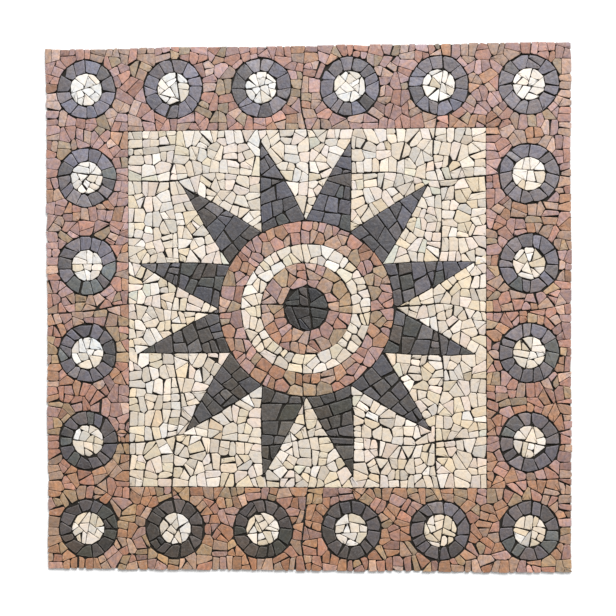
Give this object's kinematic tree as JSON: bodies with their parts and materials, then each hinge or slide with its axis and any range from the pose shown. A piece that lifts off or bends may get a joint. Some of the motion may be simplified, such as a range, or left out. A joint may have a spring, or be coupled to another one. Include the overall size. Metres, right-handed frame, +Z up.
{
  "type": "mosaic panel",
  "caption": "Square stone mosaic panel laid from net-backed mats: a rayed sun with banded rings in a pale field, inside a reddish border of dark rings with pale centres.",
  "frame": {"origin": "middle of the panel's underside, where the nets of the four middle mats meet", "axes": "+Z up out of the stones' faces; +Y towards the top edge of the panel as pictured; +X to its right"},
  "size_m": [1.2, 1.2, 0.0091],
  "materials": {
    "red_marble": "honed, matte",
    "cream_marble": "honed, matte",
    "dark_marble": "honed, matte",
    "glass_fibre": "open woven net, stiff with dry glue"
  },
  "bodies": {
    "root": {"backing_net": "glass_fibre", "border_field": "red_marble", "cream_field": "cream_marble", "sun_ray_01": "dark_marble", "sun_ray_02": "dark_marble", "sun_ray_03": "dark_marble", "sun_ray_04": "dark_marble", "sun_ray_05": "dark_marble", "sun_ray_06": "dark_marble", "sun_ray_07": "dark_marble", "sun_ray_08": "dark_marble", "sun_ray_09": "dark_marble", "sun_ray_10": "dark_marble", "sun_ray_11": "dark_marble", "sun_ray_12": "dark_marble", "sun_outer_band": "red_marble", "sun_cream_band": "cream_marble", "sun_inner_band": "red_marble", "sun_centre": "dark_marble", "roundel_ring_01": "dark_marble", "roundel_ring_02": "dark_marble", "roundel_ring_03": "dark_marble", "roundel_ring_04": "dark_marble", "roundel_ring_05": "dark_marble", "roundel_ring_06": "dark_marble", "roundel_ring_07": "dark_marble", "roundel_ring_08": "dark_marble", "roundel_ring_09": "dark_marble", "roundel_ring_10": "dark_marble", "roundel_ring_11": "dark_marble", "roundel_ring_12": "dark_marble", "roundel_ring_13": "dark_marble", "roundel_ring_14": "dark_marble", "roundel_ring_15": "dark_marble", "roundel_ring_16": "dark_marble", "roundel_ring_17": "dark_marble", "roundel_ring_18": "dark_marble", "roundel_ring_19": "dark_marble", "roundel_ring_20": "dark_marble", "roundel_eye_01": "cream_marble", "roundel_eye_02": "cream_marble", "roundel_eye_03": "cream_marble", "roundel_eye_04": "cream_marble", "roundel_eye_05": "cream_marble", "roundel_eye_06": "cream_marble", "roundel_eye_07": "cream_marble", "roundel_eye_08": "cream_marble", "roundel_eye_09": "cream_marble", "roundel_eye_10": "cream_marble", "roundel_eye_11": "cream_marble", "roundel_eye_12": "cream_marble", "roundel_eye_13": "cream_marble", "roundel_eye_14": "cream_marble", "roundel_eye_15": "cream_marble", "roundel_eye_16": "cream_marble", "roundel_eye_17": "cream_marble", "roundel_eye_18": "cream_marble", "roundel_eye_19": "cream_marble", "roundel_eye_20": "cream_marble"}
  },
  "joints": []
}
